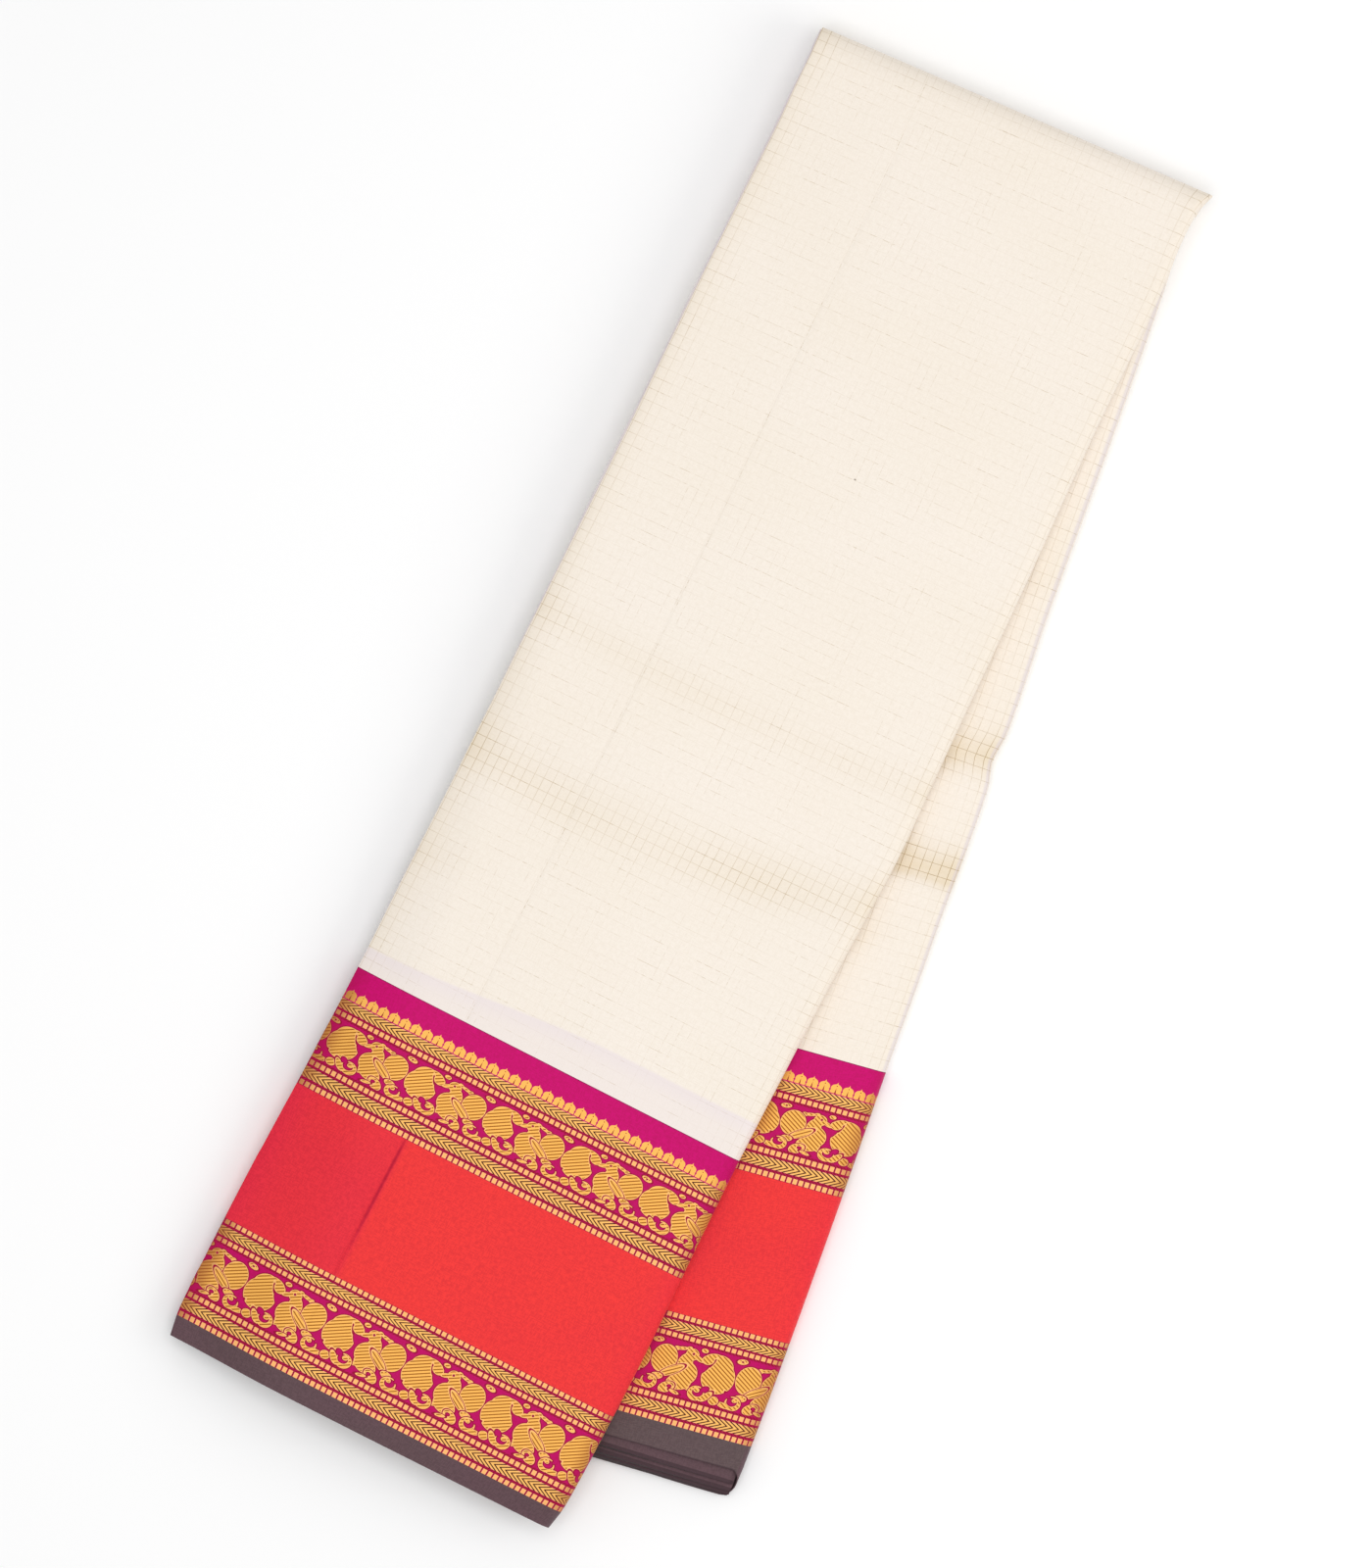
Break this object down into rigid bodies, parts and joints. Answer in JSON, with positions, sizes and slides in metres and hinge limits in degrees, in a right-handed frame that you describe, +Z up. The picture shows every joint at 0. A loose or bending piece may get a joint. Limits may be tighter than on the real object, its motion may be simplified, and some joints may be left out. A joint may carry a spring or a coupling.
{
  "type": "folded silk sari",
  "caption": "Silk sari folded lengthwise into a layered strip and doubled over, its two legs fanned, with a fine checked field and a wide woven border at the feet.",
  "frame": {"origin": "under the middle of the sari, on the surface that it lies on", "axes": "+Z up, +Y along the strip towards the fold, +X across the strip towards the side where the lower leg shows"},
  "size_m": [0.2398, 0.6096, 0.0223],
  "materials": {
    "field_silk": "smooth cream silk with fine gold thread checks and a soft sheen",
    "border_silk": "red and magenta silk with bands of gold thread figures and a dark selvedge",
    "layered_silk": "edges of many folded layers of the same silk"
  },
  "bodies": {
    "root": {"upper_border": "border_silk", "upper_field": "field_silk", "nose_fold": "field_silk", "lower_field": "field_silk", "lower_border": "border_silk", "hidden_layers": "layered_silk"}
  },
  "joints": []
}
